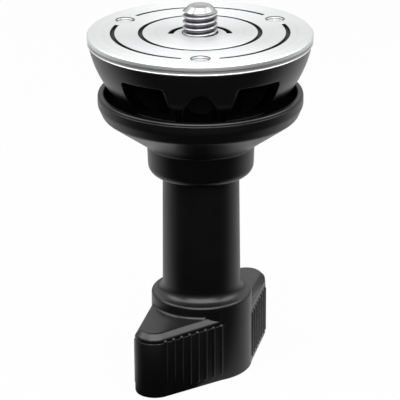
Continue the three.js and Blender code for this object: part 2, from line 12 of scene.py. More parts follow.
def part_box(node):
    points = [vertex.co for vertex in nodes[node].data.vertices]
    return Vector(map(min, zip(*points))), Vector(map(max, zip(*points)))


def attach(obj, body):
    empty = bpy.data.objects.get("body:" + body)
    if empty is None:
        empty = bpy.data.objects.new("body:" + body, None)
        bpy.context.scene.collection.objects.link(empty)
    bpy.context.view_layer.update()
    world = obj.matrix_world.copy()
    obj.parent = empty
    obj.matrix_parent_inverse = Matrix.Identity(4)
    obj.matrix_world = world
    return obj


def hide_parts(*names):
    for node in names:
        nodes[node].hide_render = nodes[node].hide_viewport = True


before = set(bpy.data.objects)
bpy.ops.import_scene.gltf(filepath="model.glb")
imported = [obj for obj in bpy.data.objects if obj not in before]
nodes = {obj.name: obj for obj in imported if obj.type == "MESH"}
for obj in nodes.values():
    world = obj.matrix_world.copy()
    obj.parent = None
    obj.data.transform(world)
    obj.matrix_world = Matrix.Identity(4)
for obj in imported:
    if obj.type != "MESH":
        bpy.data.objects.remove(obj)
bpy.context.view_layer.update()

MM = 0.001


def levels_of(node):
    """Lowest and highest level of a CAD node, in millimetres."""
    low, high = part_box(node)
    return round(low.z / MM, 2), round(high.z / MM, 2)


# Levels and radius that the solids give
plate_under, plate_top = levels_of("top_plate")
plate_radius = round(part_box("top_plate")[1].x / MM, 2)
deck_under = levels_of("rod_washer")[1]
ball_foot = levels_of("ball_shell")[0]
collar_foot, dish_rim = levels_of("clamp_dish")
shoulder, web_low = levels_of("thrust_washer")
ring_low = levels_of("retaining_ring")[0]
spigot_top = levels_of("handle")[1]
rod_low = levels_of("tie_rod")[0]

# Places of the lock screws, which plate, ball and screws share
lock_circle = 23.9
lock_angles = (270.0, 30.0, 150.0)


# Mesh helpers
def polar(radius, degrees):
    a = math.radians(degrees)
    return radius * math.cos(a), radius * math.sin(a)


def smoothed(t):
    """Eases t, which runs from 0 to 1, at both ends."""
    return t * t * (3 - 2 * t)


def rounded(points, steps):
    """Closed outline: each point is (x, y) or (x, y, radius of its rounding)."""
    nearly_straight, usable = 1.56, 0.98
    count = len(points)
    corners = [Vector(point[:2]) for point in points]
    reaches, halves = [], []
    for i, p in enumerate(corners):
        before, after = corners[i - 1] - p, corners[(i + 1) % count] - p
        half = before.angle(after) / 2
        radius = points[i][2] if len(points[i]) > 2 and half < nearly_straight else 0.0
        halves.append(half)
        reaches.append(radius / math.tan(half) if radius else 0.0)
    out = []
    for i, p in enumerate(corners):
        reach = reaches[i]
        if reach == 0.0:
            out.append(tuple(p))
            continue
        for n in (i - 1, (i + 1) % count):
            room = usable * (corners[n] - p).length
            reach = min(reach, room * reaches[i] / (reaches[i] + reaches[n]))
        before = (corners[i - 1] - p).normalized()
        after = (corners[(i + 1) % count] - p).normalized()
        radius = reach * math.tan(halves[i])
        centre = p + (before + after).normalized() * (radius / math.sin(halves[i]))
        start = p + before * reach - centre
        turn = -start.angle_signed(p + after * reach - centre)
        for k in range(steps + 1):
            spoke = start.copy()
            spoke.rotate(Matrix.Rotation(turn * k / steps, 2))
            out.append(tuple(centre + spoke))
    return out


def arc(centre, radius, low, high, steps):
    """Points (r, z) on a circle whose centre is on the axis, from height low to high."""
    start = math.asin((low - centre) / radius)
    end = math.asin((high - centre) / radius)
    turns = [start + (end - start) * k / steps for k in range(steps + 1)]
    return [(radius * math.cos(a), centre + radius * math.sin(a)) for a in turns]


def finish_mesh(bm, name, smooth_angle=32.0):
    bmesh.ops.remove_doubles(bm, verts=bm.verts, dist=1e-4)
    bmesh.ops.recalc_face_normals(bm, faces=bm.faces)
    mesh = bpy.data.meshes.new(name)
    bm.to_mesh(mesh)
    bm.free()
    obj = bpy.data.objects.new(name, mesh)
    bpy.context.scene.collection.objects.link(obj)
    obj["smooth"] = smooth_angle
    return obj


def lathe(name, outline, segments=192, smooth_angle=32.0):
    """Turned form of a closed outline of (r, z) points."""
    bm = bmesh.new()
    rings = []
    for r, z in outline:
        if r < 1e-5:
            rings.append([bm.verts.new((0, 0, z))])
        else:
            rings.append([bm.verts.new((*polar(r, 360 * k / segments), z)) for k in range(segments)])
    for i, ring in enumerate(rings):
        after = rings[(i + 1) % len(rings)]
        if len(ring) == 1 and len(after) == 1:
            continue
        for k in range(segments):
            n = (k + 1) % segments
            if len(ring) == 1:
                bm.faces.new((ring[0], after[k], after[n]))
            elif len(after) == 1:
                bm.faces.new((ring[k], ring[n], after[0]))
            else:
                bm.faces.new((ring[k], ring[n], after[n], after[k]))
    return finish_mesh(bm, name, smooth_angle)


def cylinder(name, radius, low, high, segments):
    return lathe(name, [(0, low), (radius, low), (radius, high), (0, high)], segments)


def prism(name, outline, low, high):
    """Upright prism of a flat outline of (x, y) points."""
    bm = bmesh.new()
    bottom = [bm.verts.new((x, y, low)) for x, y in outline]
    top = [bm.verts.new((x, y, high)) for x, y in outline]
    count = len(outline)
    for i in range(count):
        n = (i + 1) % count
        bm.faces.new((bottom[i], bottom[n], top[n], top[i]))
    bm.faces.new(bottom)
    bm.faces.new(top)
    return finish_mesh(bm, name)


def ring_sector(name, radius, width, start, end, low, high):
    """Upright bar that is bent round the axis, from the angle start to the angle end."""
    degrees_per_step = 1.5
    steps = int((end - start) / degrees_per_step)
    turns = [start + (end - start) * k / steps for k in range(steps + 1)]
    outer = [polar(radius + width / 2, turn) for turn in turns]
    inner = [polar(radius - width / 2, turn) for turn in reversed(turns)]
    return prism(name, outer + inner, low, high)


def moved(obj, x=0.0, y=0.0, turn=0.0, tilt=0.0):
    """Tilts a form about X, turns it about Z, both in degrees, and then shifts it."""
    turned = Matrix.Rotation(math.radians(turn), 4, "Z") @ Matrix.Rotation(math.radians(tilt), 4, "X")
    obj.data.transform(Matrix.Translation((x, y, 0)) @ turned)
    return obj


def merged(objects):
    """One object that holds the meshes of all, without joining their surfaces."""
    bm = bmesh.new()
    for obj in objects:
        bm.from_mesh(obj.data)
    target = objects[0]
    bm.to_mesh(target.data)
    bm.free()
    for obj in objects[1:]:
        bpy.data.objects.remove(obj)
    return target


def boolean(obj, tool, operation):
    modifier = obj.modifiers.new("form", "BOOLEAN")
    modifier.operation = operation
    modifier.solver = "EXACT"
    modifier.use_self = False
    modifier.object = tool
    graph = bpy.context.evaluated_depsgraph_get()
    mesh = bpy.data.meshes.new_from_object(obj.evaluated_get(graph))
    obj.modifiers.clear()
    obj.data = mesh
    bpy.data.objects.remove(tool)
    return obj


def piece(obj, name, body, slot, material, *replaced):
    """Scales a finished form to metres, gives it its look and rides it on its body."""
    obj.name = name
    obj.data.name = name
    obj.data.transform(Matrix.Scale(MM, 4))
    mesh = obj.data
    mesh.materials.clear()
    mesh.materials.append(material)
    for polygon in mesh.polygons:
        polygon.use_smooth = True
        polygon.material_index = 0
    mesh.set_sharp_from_angle(angle=math.radians(obj["smooth"]))
    del obj["smooth"]
    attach(obj, body)
    if replaced:
        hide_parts(*replaced)
    return obj


def second_look(obj, material, chosen):
    """Gives a second material to the faces that chosen picks."""
    obj.data.materials.append(material)
    for polygon in obj.data.polygons:
        if chosen(polygon):
            polygon.material_index = 1


# Materials
class Graph:
    """Short calls for building a node tree."""

    def __init__(self, tree):
        self.tree = tree

    def node(self, kind, **settings):
        made = self.tree.nodes.new(kind)
        for key, value in settings.items():
            setattr(made, key, value)
        return made

    def link(self, source, target):
        self.tree.links.new(source, target)

    def math(self, operation, *values):
        made = self.node("ShaderNodeMath", operation=operation)
        for i, value in enumerate(values):
            if isinstance(value, (int, float)):
                made.inputs[i].default_value = value
            else:
                self.link(value, made.inputs[i])
        return made.outputs[0]

    def spread(self, value, low, high, from_low, from_high, kind="LINEAR"):
        """Maps a value that runs from from_low to from_high to one from low to high."""
        made = self.node("ShaderNodeMapRange", interpolation_type=kind)
        self.link(value, made.inputs["Value"])
        made.inputs["From Min"].default_value = from_low
        made.inputs["From Max"].default_value = from_high
        made.inputs["To Min"].default_value = low
        made.inputs["To Max"].default_value = high
        return made.outputs["Result"]

    def part(self, vector, axis):
        made = self.node("ShaderNodeSeparateXYZ")
        self.link(vector, made.inputs[0])
        return made.outputs[axis]


class Look(Graph):
    """A node-based material with the principled shader as its base."""

    def __init__(self, name, colour, metallic, roughness, specular=0.5):
        self.material = bpy.data.materials.new(name)
        self.material.use_nodes = True
        super().__init__(self.material.node_tree)
        self.shader = self.tree.nodes["Principled BSDF"]
        self.set("Base Color", (*colour, 1))
        self.set("Metallic", metallic)
        self.set("Roughness", roughness)
        self.set("Specular IOR Level", specular)
        self.place = self.node("ShaderNodeTexCoord").outputs["Object"]

    def set(self, socket, value):
        self.shader.inputs[socket].default_value = value

    def noise(self, scale, detail=2.0, rough=0.5, vector=None):
        made = self.node("ShaderNodeTexNoise")
        self.link(vector or self.place, made.inputs["Vector"])
        made.inputs["Scale"].default_value = scale
        made.inputs["Detail"].default_value = detail
        made.inputs["Roughness"].default_value = rough
        return made.outputs["Fac"]

    def radius(self):
        """Distance from the tie rod's axis, in metres."""
        flat = self.node("ShaderNodeVectorMath", operation="MULTIPLY")
        self.link(self.place, flat.inputs[0])
        flat.inputs[1].default_value = (1, 1, 0)
        length = self.node("ShaderNodeVectorMath", operation="LENGTH")
        self.link(flat.outputs["Vector"], length.inputs[0])
        return length.outputs["Value"]

    def rounded_normal(self, radius):
        bevel = self.node("ShaderNodeBevel", samples=6)
        bevel.inputs["Radius"].default_value = radius
        return bevel.outputs["Normal"]

    def edges(self, radius):
        """Near 1 on sharp edges, 0 on open faces, from the rounded normal."""
        geometry = self.node("ShaderNodeNewGeometry")
        dot = self.node("ShaderNodeVectorMath", operation="DOT_PRODUCT")
        self.link(self.rounded_normal(radius), dot.inputs[0])
        self.link(geometry.outputs["Normal"], dot.inputs[1])
        return self.spread(dot.outputs["Value"], 1.0, 0.0, from_low=0.75, from_high=0.98)

    def tint(self, mask, colour):
        """Blends the base colour towards another where the mask is high."""
        mix = self.node("ShaderNodeMix", data_type="RGBA")
        self.link(mask, mix.inputs["Factor"])
        source = self.shader.inputs["Base Color"]
        if source.is_linked:
            self.link(source.links[0].from_socket, mix.inputs[6])
        else:
            mix.inputs[6].default_value = source.default_value
        mix.inputs[7].default_value = (*colour, 1)
        self.link(mix.outputs[2], source)

    def bump(self, height, distance, strength, soft_edge):
        made = self.node("ShaderNodeBump")
        made.inputs["Distance"].default_value = distance
        made.inputs["Strength"].default_value = strength
        self.link(height, made.inputs["Height"])
        self.link(self.rounded_normal(soft_edge), made.inputs["Normal"])
        self.link(made.outputs["Normal"], self.shader.inputs["Normal"])

    def roughness(self, value):
        self.link(value, self.shader.inputs["Roughness"])


def machined(name, colour, roughness, edge=0.00012, painted_shades_and_tones=()):
    """Turned metal: fine rings round the axis, faint drift in tone, softened edges.

    Each entry is (level below which it starts, radius within which it lies, colour).
    Most entries are painted shade in recesses, grooves, gaps and thread roots; one is a hole wall's own
    tone.
    Level and radius are in millimetres.
    """
    fade = 0.1 * MM
    look = Look(name, colour, 1.0, roughness)
    rings = look.node("ShaderNodeCombineXYZ")
    look.link(look.radius(), rings.inputs[0])
    fine = look.noise(9000.0, rough=0.7, vector=rings.outputs[0])
    broad = look.noise(700.0, detail=1.0, vector=rings.outputs[0])
    drift = look.noise(60.0)
    cloudy = look.spread(look.math("MULTIPLY", drift, broad), 0.0, 0.5, from_low=0.1, from_high=0.45)
    look.tint(cloudy, tuple(c * 0.82 for c in colour))
    for level, radius, shade in painted_shades_and_tones:
        z, r = level * MM, radius * MM
        low = look.spread(look.part(look.place, "Z"), 1.0, 0.0, from_low=z - fade, from_high=z)
        inside = look.spread(look.radius(), 1.0, 0.0, from_low=r - fade, from_high=r)
        look.tint(look.math("MULTIPLY", low, inside), shade)
    look.roughness(look.spread(fine, roughness - 0.05, roughness + 0.07, from_low=0.3, from_high=0.7))
    look.bump(fine, distance=0.000004, strength=0.6, soft_edge=edge)
    look.set("Anisotropic", 0.36)
    look.set("Anisotropic Rotation", 0.25)
    tangent = look.node("ShaderNodeTangent", direction_type="RADIAL", axis="Z")
    look.link(tangent.outputs["Tangent"], look.shader.inputs["Tangent"])
    return look.material


def coat(name, colour, roughness, grain, depth, edge, edge_wear_and_highlight_colour, specular=0.4):
    """Dark coat or moulding: fine grain, cloudy gloss, and edges painted in a lighter edge colour, which
    is wear and, on the ball's windows, a painted highlight.
    """
    look = Look(name, colour, 0.0, roughness, specular)
    cloud = look.noise(45.0, detail=3.0, rough=0.6)
    speck = look.noise(grain, detail=3.0, rough=0.6)
    cloudy = look.spread(cloud, 0.0, 0.5, from_low=0.35, from_high=0.75)
    look.tint(cloudy, tuple(c * 1.35 for c in colour))
    patches = look.noise(350.0, detail=3.0, rough=0.7)
    scuffs = look.spread(patches, 0.0, 0.9, from_low=0.35, from_high=0.7)
    worn_and_highlit_edges = look.math("MULTIPLY", look.edges(edge), scuffs)
    look.tint(worn_and_highlit_edges, edge_wear_and_highlight_colour)
    gloss = look.spread(cloud, roughness - 0.05, roughness + 0.05, from_low=0.3, from_high=0.7)
    look.roughness(look.math("SUBTRACT", gloss, look.math("MULTIPLY", worn_and_highlit_edges, 0.08)))
    look.bump(speck, distance=depth, strength=0.5, soft_edge=edge)
    return look.material


# Painted shade in the turned metals' recesses, grooves, gaps and thread roots, and the lock hole walls'
# own tone, as machined takes them
anywhere = 50
# painted shade: the recessed band under the plate's rim is painted darker grey
rim_band_painted_shade = (plate_top - 1.4, 30.6, (0.44, 0.44, 0.45))
# painted shade: the plate's grooves, slot and rod hole are painted near black
groove_painted_shade = (plate_top - 0.1, 28.5, (0.035, 0.035, 0.037))
hole_wall_shade = (plate_top - 0.15, anywhere, (0.8, 0.8, 0.805))
# painted shade: the lock holes' walls below the screws' tops are painted near black
hole_gap_painted_shade = (plate_top - 0.52, anywhere, (0.05, 0.05, 0.052))
# painted shade: the stud's thread roots are painted dark
thread_root_painted_shade = (plate_top + 5.8, 4.55, (0.13, 0.13, 0.135))

# The plate's aluminium carries painted shade in its rim's recess and in its grooves.
aluminium = machined(
    "machined_aluminium", (0.83, 0.835, 0.84), 0.52, painted_shades_and_tones=(rim_band_painted_shade, groove_painted_shade),
)
# Lock holes: painted shade on the top chamfer (the near black base colour) and below the screws' tops;
# the wall between keeps the metal's own tone.
hole_metal_with_painted_shade = machined(
    "hole_metal_with_painted_shade", (0.06, 0.06, 0.062), 0.45, painted_shades_and_tones=(hole_wall_shade, hole_gap_painted_shade),
)
# The stud's steel carries painted shade in its thread roots.
stud_steel = machined(
    "bare_steel", (0.56, 0.56, 0.57), 0.28, edge=0.00004, painted_shades_and_tones=(thread_root_painted_shade,),
)
screw_steel = machined("screw_steel", (0.8, 0.8, 0.8), 0.42, edge=0.0001)
brass = machined("insert_brass", (0.72, 0.5, 0.2), 0.3, edge=0.0001)
dark_steel = coat(
    "dark_steel", (0.02, 0.02, 0.022), 0.35, grain=6000.0, depth=0.00001,
    edge=0.0001, edge_wear_and_highlight_colour=(0.12, 0.12, 0.13), specular=0.5,
)
# The ball's light edge colour is partly wear and partly a painted highlight along the windows' edges.
ball_coat = coat(
    "ball_coat", (0.0008, 0.0008, 0.0009), 0.3, grain=7000.0, depth=0.000008,
    edge=0.0007, edge_wear_and_highlight_colour=(0.12, 0.12, 0.122), specular=0.8,
)
inside_coat = coat(
    "inside_coat", (0.001, 0.001, 0.0011), 0.8, grain=3000.0, depth=0.00001,
    edge=0.0003, edge_wear_and_highlight_colour=(0.002, 0.002, 0.002), specular=0.05,
)
nylon = coat(
    "nylon", (0.7, 0.69, 0.65), 0.5, grain=4000.0, depth=0.000008,
    edge=0.0002, edge_wear_and_highlight_colour=(0.78, 0.77, 0.73),
)
dish_plastic, handle_plastic = [
    coat(
        name, (0.0008, 0.0008, 0.0009), 0.33, grain=5200.0, depth=0.00001,
        edge=0.0003, edge_wear_and_highlight_colour=(0.014, 0.014, 0.015), specular=0.5,
    )
    for name in ("dish_moulding", "handle_moulding")
]

cad_looks = (
    (dark_steel, ("rod_washer", "rod_nut", "rod_stop_washer", "rod_stop_clip")),
    (dark_steel, ("plate_screw_1", "plate_screw_2", "plate_screw_3", "plate_screw_4")),
    (dark_steel, ("ring_washer", "retaining_ring")),
    (nylon, ("dish_bush", "thrust_washer")),
    (brass, ("handle_nut",)),
    (handle_plastic, ("end_cap",)),
)
for look, names in cad_looks:
    for name in names:
        mesh = nodes[name].data
        mesh.materials.clear()
        mesh.materials.append(look)


# Top plate
lock_bore = 2.52
hole_chamfer = 0.2
rod_hole = 4.95
rim_step = 0.32
rim_height = 1.35
top_chamfer = 0.3
inner_groove = (15.68, 16.92)
groove_depth = 0.8
outer_groove_width = 1.25
outer_groove_ends = (12, 108)  # degrees past each lock screw
slot_radius = 8.0
slot_width = 1.55
slot_depth = 1.3
slot_ends = (4, 176)
slot_ahead = 2.0  # from the rod's axis forward to the slot's centre


def make_plate():
    floor = plate_top - groove_depth
    above = plate_top + 1
    rim_low = plate_top - rim_height
    step = plate_radius - rim_step
    near, far = inner_groove
    outline = rounded([
        (rod_hole, plate_under, 0.1),
        (plate_radius - 0.15, plate_under, 0.1),
        (plate_radius, plate_under + 0.1, 0.07),
        (step, plate_under + rim_step, 0.05),
        (step, rim_low, 0.04),
        (plate_radius, rim_low, 0.06),
        (plate_radius, plate_top - top_chamfer, 0.15),
        (plate_radius - top_chamfer, plate_top, 0.15),
        (far, plate_top, 0.08),
        (far, floor, 0.05),
        (near, floor, 0.05),
        (near, plate_top, 0.08),
        (rod_hole + 0.05, plate_top, 0.03),
        (rod_hole, plate_top - 0.05, 0.02),
    ], 3)
    slot = ring_sector("slot", slot_radius, slot_width, *slot_ends, plate_top - slot_depth, above)
    cutters = [moved(slot, y=-slot_ahead)]
    for angle in lock_angles:
        start, end = [angle + turn for turn in outer_groove_ends]
        cutters.append(ring_sector("groove", lock_circle, outer_groove_width, start, end, floor, above))
        bore = [
            (0, plate_under - 1), (lock_bore, plate_under - 1), (lock_bore, plate_top - 0.14),
            (lock_bore + hole_chamfer, plate_top), (lock_bore + hole_chamfer, above), (0, above),
        ]
        cutters.append(moved(lathe("bore", bore, 64), *polar(lock_circle, angle)))
    return boolean(lathe("plate", outline, 240), merged(cutters), "DIFFERENCE")


def in_lock_hole(polygon):
    x, y, z = polygon.center / MM
    reach = min(math.dist((x, y), polar(lock_circle, angle)) for angle in lock_angles)
    return reach < lock_bore + hole_chamfer - 0.01 and z < plate_top - 0.01


plate = piece(make_plate(), "plate_dress", "ball", "machined_aluminium", aluminium, "top_plate")
# The lock holes' faces get the metal with painted shade.
second_look(plate, hole_metal_with_painted_shade, in_lock_hole)


# Ball shell
ball_radius = 31.0
ball_centre = plate_top + 3.0
ball_wall = 3.4
deck_hole = 5.06
window_half_width = 6.65
window_sill = 3.9  # above the ball's foot
window_head = 0.4  # below the deck
window_corner = 1.1
window_angles = (237.0, 303.0, 63.0, 117.0)
key_bore = 4.75
deck_screw_hole = 2.6


def window_tool(angle):
    low, high = ball_foot + window_sill, deck_under - window_head
    outline = rounded([
        (-window_half_width, low, window_corner),
        (window_half_width, low, window_corner),
        (window_half_width, high, window_corner),
        (-window_half_width, high, window_corner),
    ], 8)
    tool = prism("window", outline, 0, ball_radius + 1)
    return moved(tool, turn=angle + 90, tilt=90)


def make_ball():
    outside = arc(ball_centre, ball_radius, ball_foot, plate_under, 40)
    inside = arc(ball_centre, ball_radius - ball_wall, ball_foot, deck_under, 24)
    outline = [*outside, (deck_hole, plate_under), (deck_hole, deck_under), *reversed(inside)]
    ball = lathe("ball", outline, 240)
    tools = [window_tool(angle) for angle in window_angles]
    for angle in lock_angles:
        x, y = polar(lock_circle, angle)
        tools.append(moved(cylinder("bore", key_bore, ball_foot - 1, deck_under, 96), x, y))
        tools.append(moved(cylinder("bore", deck_screw_hole, deck_under - 1, plate_under + 1, 48), x, y))
    for tool in tools:
        boolean(ball, tool, "DIFFERENCE")
    return ball


def inside_ball(polygon):
    centre = Vector((0, 0, ball_centre * MM))
    vertices = polygon.id_data.vertices
    reach = min((vertices[i].co - centre).length for i in polygon.vertices) / MM
    return reach < ball_radius - 0.06 and polygon.center.z / MM < plate_under - 0.2


ball = piece(make_ball(), "ball_dress", "ball", "ball_coat", ball_coat, "ball_shell")
second_look(ball, inside_coat, inside_ball)


# Tie rod and stud
thread_crest = 4.76
thread_root = 3.85
thread_pitch = 1.5875
thread_lift = 0.3  # from the plate up to the first crest above it, at the front
crest_share = 0.12  # of half a turn
flank_share = 0.7  # of half a turn
stud_low = plate_top - 1.6
stud_top = plate_top + 7.55
stud_chamfer = 1.65
stud_chamfer_radius = thread_crest + 0.1
stud_end_radius = 3.0
stud_face_radius = 2.9
stud_dip_radius = 0.7
stud_face_fall = 0.05
stud_dip_depth = 0.18
flange_radius = 7.6
flange_height = 2.2
clip_height = 0.8
clip_groove = 0.8
rod_tail = 1.4
slip = 0.15


def thread_radius(angle, z):
    """Radius of the V thread with its rounded roots, cut off by the stud's chamfer."""
    phase = (z - plate_top - thread_lift) / thread_pitch - (angle - 270) / 360
    away = abs(2 * (phase - round(phase)))
    flank = min(max((away - crest_share) / flank_share, 0), 1)
    radius = thread_crest - (thread_crest - thread_root) * (0.6 * flank + 0.4 * smoothed(flank))
    below_top = stud_top - z
    if below_top < stud_chamfer:
        slope = (stud_chamfer_radius - stud_end_radius) / stud_chamfer
        radius = min(radius, stud_end_radius + slope * below_top)
    return radius


def make_stud():
    around, rows = 120, 150
    turns = [360 * k / around for k in range(around)]
    bm = bmesh.new()
    grid = []
    for i in range(rows + 1):
        z = stud_low + (stud_top - stud_low) * i / rows
        grid.append([bm.verts.new((*polar(thread_radius(turn, z), turn), z)) for turn in turns])
    grid.append([bm.verts.new((*polar(stud_face_radius, turn), stud_top)) for turn in turns])
    dip = stud_top - stud_face_fall
    grid.append([bm.verts.new((*polar(stud_dip_radius, turn), dip)) for turn in turns])
    tip = bm.verts.new((0, 0, stud_top - stud_dip_depth))
    for low, high in zip(grid, grid[1:]):
        for k in range(around):
            n = (k + 1) % around
            bm.faces.new((low[k], low[n], high[n], high[k]))
    for k in range(around):
        bm.faces.new((grid[-1][k], grid[-1][(k + 1) % around], tip))
    bm.faces.new(list(reversed(grid[0])))
    return finish_mesh(bm, "stud", 38)


def make_rod():
    clip = rod_low + rod_tail
    neck = thread_crest - clip_groove
    shank = lathe("shank", rounded([
        (0, rod_low), (thread_crest, rod_low, 0.76), (thread_crest, clip - slip), (neck, clip - slip),
        (neck, clip + clip_height), (thread_crest, clip + clip_height), (thread_crest, stud_low),
        (0, stud_low),
    ], 4), 96)
    corners = [(*polar(flange_radius, 60 * k + 30), 0.4) for k in range(6)]
    flange = prism("flange", rounded(corners, 4), plate_under - flange_height, plate_under - slip)
    return merged([make_stud(), shank, flange])


# Faces of the rod below the plate, which get dark steel as painted shade.
def painted_shade_under_plate(polygon):
    return polygon.center.z / MM < plate_under


rod = piece(make_rod(), "tie_rod_dress", "ball", "bare_steel", stud_steel, "tie_rod")
# painted shade: the rod's shank and flange under the plate, inside the ball, get dark steel while the
# stud above stays bare
second_look(rod, dark_steel, painted_shade_under_plate)


# Lock screws
screw_radius = 2.42
screw_length = 8
screw_recess = 0.62
socket_radius = 1.3
socket_depth = 2.5


def make_lock_screw(angle):
    top = plate_top - screw_recess
    foot = top - screw_length
    outline = rounded([
        (0, foot + socket_depth),
        (socket_radius, foot + socket_depth),
        (socket_radius, foot),
        (screw_radius, foot, 0.25),
        (screw_radius, top - 0.25, 0.08),
        (screw_radius - 0.2, top, 0.12),
        (0, top),
    ], 5)
    return moved(lathe("lock", outline, 64), *polar(lock_circle, angle))


for index, angle in enumerate(lock_angles, 1):
    piece(
        make_lock_screw(angle), f"lock_screw_{index}_dress", f"lock_{index}", "screw_steel",
        screw_steel, f"lock_screw_{index}",
    )


# Clamp dish
web_top = web_low + 4.1
web_bore = 9.35
collar_bore = 11.2
collar_foot_radius = 14.6
cone_foot_radius = 14.9
cone_foot = 66.9
cup_floor_radius = 15.71
cup_bend = (23.83, 76.08)
cup_wall_radius = 26.42
cup_wall_foot = 77.9
rim_inner_radius = 27.0
rim_radius = 28.05
parting_radius = 28.0
parting_top = dish_rim - 0.84
parting_low = dish_rim - 0.94
parting_edge = 0.06
dish_radius = 28.27
cone_top_radius = 25.1


def make_dish():
    outline = rounded([
        (web_bore, web_top, 0.2),
        (cup_floor_radius, web_top, 2.0),
        (*cup_bend, 1.5),
        (cup_wall_radius, cup_wall_foot, 1.2),
        (cup_wall_radius, dish_rim - 0.25, 0.55),
        (rim_inner_radius, dish_rim, 0.7),
        (rim_radius, dish_rim - 0.25, 0.6),
        (parting_radius + 0.16, parting_top + parting_edge, 0.1),
        (parting_radius, parting_top, 0.03),
        (parting_radius, parting_low, 0.03),
        (parting_radius + 0.24, parting_low - parting_edge, 0.1),
        (dish_radius, dish_rim - 3.3, 2.6),
        (dish_radius - 1.25, dish_rim - 6.3, 2.0),
        (cone_top_radius, dish_rim - 7.7, 2.4),
        (cone_foot_radius, cone_foot, 1.1),
        (collar_foot_radius, collar_foot, 2.9),
        (collar_bore, collar_foot, 0.2),
        (collar_bore, web_low, 0.2),
        (web_bore, web_low, 0.2),
    ], 8)
    return lathe("dish", outline, 240, 24)


def inside_cup(polygon):
    x, y, z = polygon.center / MM
    in_reach = web_top - 0.1 < z < dish_rim - 0.5 and math.hypot(x, y) < cup_wall_radius + 0.08
    return in_reach and polygon.normal.z > -0.01


dish = piece(make_dish(), "clamp_dish_dress", "clamp", "dish_moulding", dish_plastic, "clamp_dish")
second_look(dish, inside_coat, inside_cup)


# Handle
knob_bore = 10.19
hub_lip = 22.88
hub_radius = 14.2
hub_foot_radius = 14.3
column_radius = 11.0
column_top_radius = 10.6
column_fillet = (2.3, 3.0)  # width and height
spigot_radius = 7.7
ring_groove_radius = 6.8
ring_groove_height = 1.15
rod_clearance = 5.3
cap_seat = 6.0
cap_bore_top = 1.75
wing_top = 19.85
wing_angle = 235.1
wing_reach = 22.9
wing_tip = 5.6
wing_drop = 0.65  # of the front wing's top, wing_reach away from the axis
rear_drop = 0.3  # the same for the rear wing
wing_bevel = 1.95
wing_round = 1.0  # radius at both ends of the bevel
wing_ledge = 0.1
wing_ledge_drop = 2.6
low_side_fall = 1.75  # of the ledge and the ribs' tops on one side of each wing
face_angle = math.degrees(math.acos((hub_radius - wing_tip) / wing_reach))
tip_steps, hub_steps = 24, 14
bead_radius = 0.55
bead_proud = 0.33
bead_foot = 1.6
bead_top = wing_top - wing_ledge_drop + 0.18
bead_margin = 0.1
bead_pitch = 2.63
bead_count = 8
bead_sink = 0.02  # more for each bead towards the tip
wing_fillet = 0.9


def wing_outline(inset):
    """Plan of both wings and the hub, drawn in by inset, with the front wing along +X."""
    outline = []
    for side in (0, 180):
        cx, cy = polar(wing_reach, side)
        for k in range(tip_steps + 1):
            x, y = polar(wing_tip - inset, side - face_angle + 2 * face_angle * k / tip_steps)
            outline.append((cx + x, cy + y))
        for k in range(1, hub_steps):
            turn = side + face_angle + (180 - 2 * face_angle) * k / hub_steps
            outline.append(polar(hub_radius - inset, turn))
    return outline


def ledge_falls():
    """How far the ledge falls at each point of wing_outline, from 0 to 1."""
    flat_until = 40
    falls = []
    for k in range(tip_steps + 1):
        turn = face_angle - 2 * face_angle * k / tip_steps
        falls.append(smoothed(min(max((turn - flat_until) / (face_angle - flat_until), 0), 1)))
    falls += [0 if k < hub_steps / 2 else 1 for k in range(1, hub_steps)]
    return falls * 2


def wing_levels():
    """(inset, height, share of low_side_fall) of each ring of the wings' side, from the foot up.

    A rounded foot leads to the ledge, and a bevel that is rounded at both ends to the top.
    """
    ledge = wing_top - wing_ledge_drop
    levels = [(0.5, 0, 0), (0.15, 0.15, 0), (0, 0.5, 0)]
    levels += [(0, ledge - 0.1, 1), (0.03, ledge - 0.03, 1), (wing_ledge, ledge, 1)]
    for turns, slope, share in ((range(7), 0, 0.5), (range(6, 13), wing_bevel - wing_round, 0)):
        for k in turns:
            a = math.radians(7.5 * k)
            inset = wing_ledge + wing_round * (1 - math.cos(a)) + slope
            z = wing_top - wing_bevel + wing_round * math.sin(a) + slope
            levels.append((inset, z, share))
    return levels


def make_wings():
    bm = bmesh.new()
    falls = ledge_falls()
    rings = []
    for inset, z, share in wing_levels():
        drop = low_side_fall * share
        points = zip(wing_outline(inset), falls)
        rings.append([bm.verts.new((x, y, z - drop * fall)) for (x, y), fall in points])
    for low, high in zip(rings, rings[1:]):
        for i in range(len(low)):
            n = (i + 1) % len(low)
            bm.faces.new((low[i], low[n], high[n], high[i]))
    bm.faces.new(list(reversed(rings[0])))
    bm.faces.new(rings[-1])
    everything = list(bm.verts) + list(bm.edges) + list(bm.faces)
    bmesh.ops.bisect_plane(bm, geom=everything, plane_co=(0, 0, 0), plane_no=(1, 0, 0), dist=1e-4)
    for vert in bm.verts:
        if vert.co.z > wing_top / 2:
            drop = wing_drop if vert.co.x > 0 else rear_drop
            vert.co.z -= drop * abs(vert.co.x) / wing_reach
    return moved(finish_mesh(bm, "wings"), turn=wing_angle)


def bead_outline(sink):
    """Half of an upright rib with rounded ends, whose top sits lower by sink."""
    ends = [math.radians(15 * k) for k in range(7)]
    low, high = bead_foot + bead_radius, bead_top - bead_radius
    foot = [(bead_radius * math.sin(a), low - bead_radius * math.cos(a)) for a in ends]
    head = [(bead_radius * math.cos(a), high + bead_radius * math.sin(a) - sink) for a in ends]
    foot[0] = (0, bead_foot)
    head[-1] = (0, bead_top - sink)
    return foot + head


